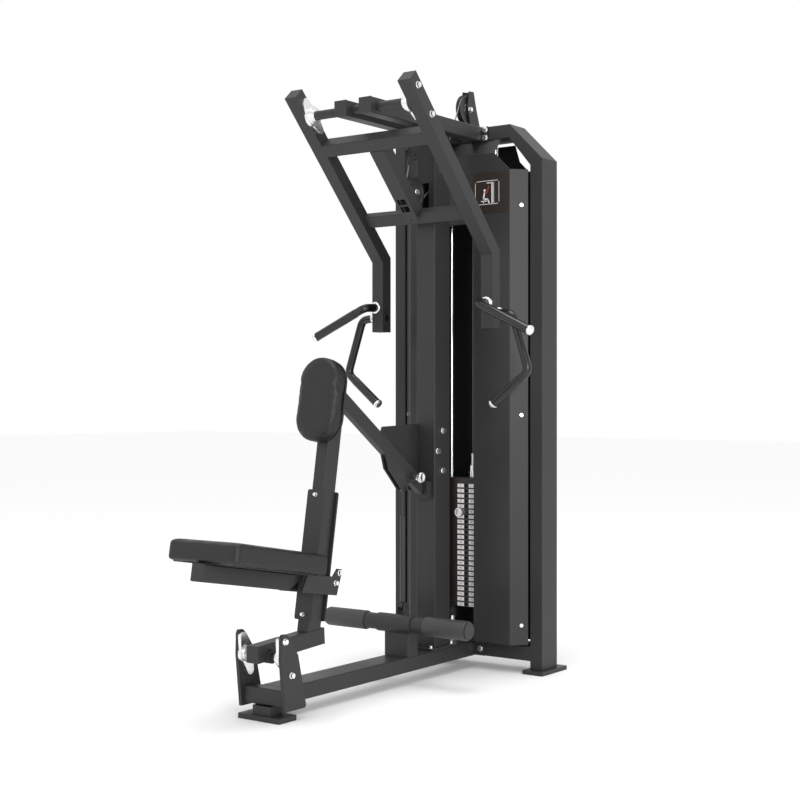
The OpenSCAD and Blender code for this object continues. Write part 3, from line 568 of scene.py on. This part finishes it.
def number(words, x, y, z, height):
    """A number as a flat mesh that faces the sitter."""
    curve = bpy.data.curves.new("digits", "FONT")
    curve.body = words
    curve.size = height
    curve.align_x = "CENTER"
    curve.align_y = "CENTER"
    curve.resolution_u = 2
    holder = bpy.data.objects.new("digits", curve)
    mesh = bpy.data.meshes.new_from_object(holder)
    bm = bmesh.new()
    bm.from_mesh(mesh)
    bmesh.ops.rotate(bm, verts=bm.verts, matrix=Matrix.Rotation(math.radians(90), 3, "X"))
    bmesh.ops.translate(bm, verts=bm.verts, vec=(x, y, z))
    bpy.data.objects.remove(holder)
    bpy.data.curves.remove(curve)
    bpy.data.meshes.remove(mesh)
    return bm


plate_pitch = 0.0197
first_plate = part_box("lower_plates")[0].z + 0.0097
front_of_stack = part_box("lower_plates")[0].y
kilos, pounds = 5, 11


def plates_in(node):
    """How many plates a node holds."""
    return round((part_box(node)[1].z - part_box(node)[0].z) / plate_pitch)


plates_under_pin = plates_in("lower_plates")
plate_count = plates_under_pin + plates_in("upper_plates")
for body, first, last in (("frame", 0, plates_under_pin), ("stack_lifted", plates_under_pin, plate_count)):
    strips, digits = [], []
    for i in range(first, last):
        z = first_plate + i * plate_pitch
        step = plate_count - i
        for x0, x1, words in ((-0.038, -0.008, str(step * kilos)), (0.014, 0.037, str(step * pounds))):
            strips.append(label_strip(x0, x1, front_of_stack, z, 0.0135))
            digits.append(number(words, (x0 + x1) / 2, front_of_stack - label_skin - 0.0001, z, digit_height))
    finished("labels_" + body, joined(strips), label_white, body, smooth=False)
    finished("numbers_" + body, joined(digits), label_ink, body, smooth=False)

# --- Placard ------------------------------------------------------------------------------
# A dark brown-black printed film on the cover with a thin white frame round a plain picture
# of someone seated, pulling: no words. The red stroke marks the muscles used.
placard_film = moulded("dark_printed_film", "#241d19", "#2b231e", 0.35, 150.0, 0.02)
print_white = moulded("white_screen_print", "#d9d9d9", "#e0e0e0", 0.5, 150.0, 0.02)
print_red = moulded("red_screen_print", "#b03a2a", "#b9402f", 0.5, 150.0, 0.02)
low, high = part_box("placard")


def flat_plate(x0, x1, z0, z1, y, depth, radius):
    """A thin plate with round corners that faces the sitter."""
    bm = bmesh.new()
    rounded_rectangle(x1 - x0, z1 - z0, radius)(bm)
    grown = bmesh.ops.extrude_face_region(bm, geom=bm.faces[:])["geom"]
    bmesh.ops.translate(bm, verts=[g for g in grown if isinstance(g, bmesh.types.BMVert)], vec=(0, -depth, 0))
    bmesh.ops.translate(bm, verts=bm.verts, vec=((x0 + x1) / 2, y, (z0 + z1) / 2))
    return bm


def stroke(a, b, width, y):
    """A round-ended stroke from a to b, given as (x, z)."""
    start, end = Vector((a[0], y, a[1])), Vector((b[0], y, b[1]))
    along = end - start
    bm = bmesh.new()
    rounded_rectangle(along.length + width, width, width * 0.49)(bm)
    bmesh.ops.rotate(bm, verts=bm.verts, matrix=Matrix.Rotation(-math.atan2(along.z, along.x), 3, "Y"))
    bmesh.ops.translate(bm, verts=bm.verts, vec=(start + end) / 2)
    return bm


film = finished("placard_film_sheet", flat_plate(low.x, high.x, low.z, high.z, high.y, high.y - low.y, 0.003),
                placard_film, "frame", smooth=False)
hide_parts("placard")
print_y = low.y - 0.0002
left, right, base, top = 0.076, 0.180, 1.745, 1.832
frame_strokes = [stroke((left + 0.006, base), (right - 0.006, base), 0.0018, print_y),
                 stroke((left + 0.006, top), (right - 0.006, top), 0.0018, print_y),
                 stroke((left, base + 0.006), (left, top - 0.006), 0.0018, print_y),
                 stroke((right, base + 0.006), (right, top - 0.006), 0.0018, print_y)]
figure = [((0.112, 1.763), (0.116, 1.787), 0.0065), ((0.112, 1.763), (0.130, 1.765), 0.006),
          ((0.130, 1.765), (0.137, 1.750), 0.005), ((0.102, 1.757), (0.126, 1.757), 0.003),
          ((0.112, 1.757), (0.112, 1.750), 0.003), ((0.150, 1.750), (0.150, 1.824), 0.005),
          ((0.157, 1.750), (0.157, 1.824), 0.002), ((0.128, 1.824), (0.157, 1.824), 0.003),
          ((0.117, 1.797), (0.1172, 1.7975), 0.009)]
picture = [stroke(a, b, width, print_y) for a, b, width in figure]
finished("placard_picture", joined(frame_strokes + picture), print_white, "frame",
         smooth=False)
accent = [stroke((0.118, 1.784), (0.130, 1.790), 0.0035, print_y - 0.0001),
          stroke((0.130, 1.790), (0.134, 1.812), 0.0035, print_y - 0.0001)]
finished("placard_accent", joined(accent), print_red, "frame", smooth=False)

# --- Cables -------------------------------------------------------------------------------
# Wire rope of 5 mm in a clear grey nylon coat. The strands show through as a fine twist. The
# yoke's run drops from the beams' anchor, wraps the yoke's wheel and rises to the guide wheel; the stack's
# run hangs straight down.
cable_coat, tree, place, shader = new_material("nylon_coated_wire_rope")
twist = add_node(tree, "ShaderNodeTexWave", [(place, "Object", "Vector")], bands_direction="DIAGONAL",
                 values={"Scale": 220.0, "Distortion": 0.4})
rope_bump = add_node(tree, "ShaderNodeBump", [(twist, "Fac", "Height")],
                     values={"Strength": 0.4, "Distance": 0.0005})
rope_tint = add_node(tree, "ShaderNodeMix", [(twist, "Fac", 0)], data_type="RGBA",
                     values={6: linear("#5a5a5a"), 7: linear("#8d8d8d")})
shader.inputs["Roughness"].default_value = 0.35
shader.inputs["Metallic"].default_value = 0.3
tree.links.new(rope_tint.outputs[2], shader.inputs["Base Color"])
tree.links.new(rope_bump.outputs["Normal"], shader.inputs["Normal"])
rope_radius = 0.0025
anchor_end = bench(0, 749, 1902)
yoke_wheel = bench(0, 764, 1765)
guide_wheel = bench(0, 893, 1855)
low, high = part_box("top_pulley")
top_wheel = (low + high) / 2


def wrap(hub, radius, start, end, steps=16):
    """Points round a wheel, as angles in the Y-Z plane in degrees."""
    angles = [math.radians(start + (end - start) * i / steps) for i in range(steps + 1)]
    return [hub + Vector((0, math.cos(a), math.sin(a))) * radius for a in angles]


def evenly(a, b, count=24):
    return [a.lerp(b, i / count) for i in range(count + 1)]


def rope(name, route, body=None):
    """A length of cable along a route."""
    return finished(name, swept_bar(route, rope_radius, 12), cable_coat, body)


yoke_wrap = wrap(yoke_wheel, 0.050, 164.9, 308.7)
guide_wrap = wrap(guide_wheel, 0.0394, -51.3, -25.4, 6)
top_wrap = wrap(top_wheel, 0.048, 154.7, 0)
drop = rope("cable_drop_to_yoke", evenly(anchor_end, yoke_wrap[0]))
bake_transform(drop)
rope("cable_round_yoke_wheel", yoke_wrap, "yoke")
rise = rope("cable_rise_to_column", evenly(yoke_wrap[-1], guide_wrap[0]))
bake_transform(rise)
over_top = rope("cable_over_top_wheel", guide_wrap + top_wrap, "frame")
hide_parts("arm_cable")
low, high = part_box("stack_cable")
stack_top = Vector((0, (low.y + high.y) / 2, high.z))
stack_end = Vector((0, (low.y + high.y) / 2, low.z))
stack_run = rope("cable_down_to_stack", evenly(stack_top, stack_end), "frame")
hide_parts("stack_cable")
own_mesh(stack_run)
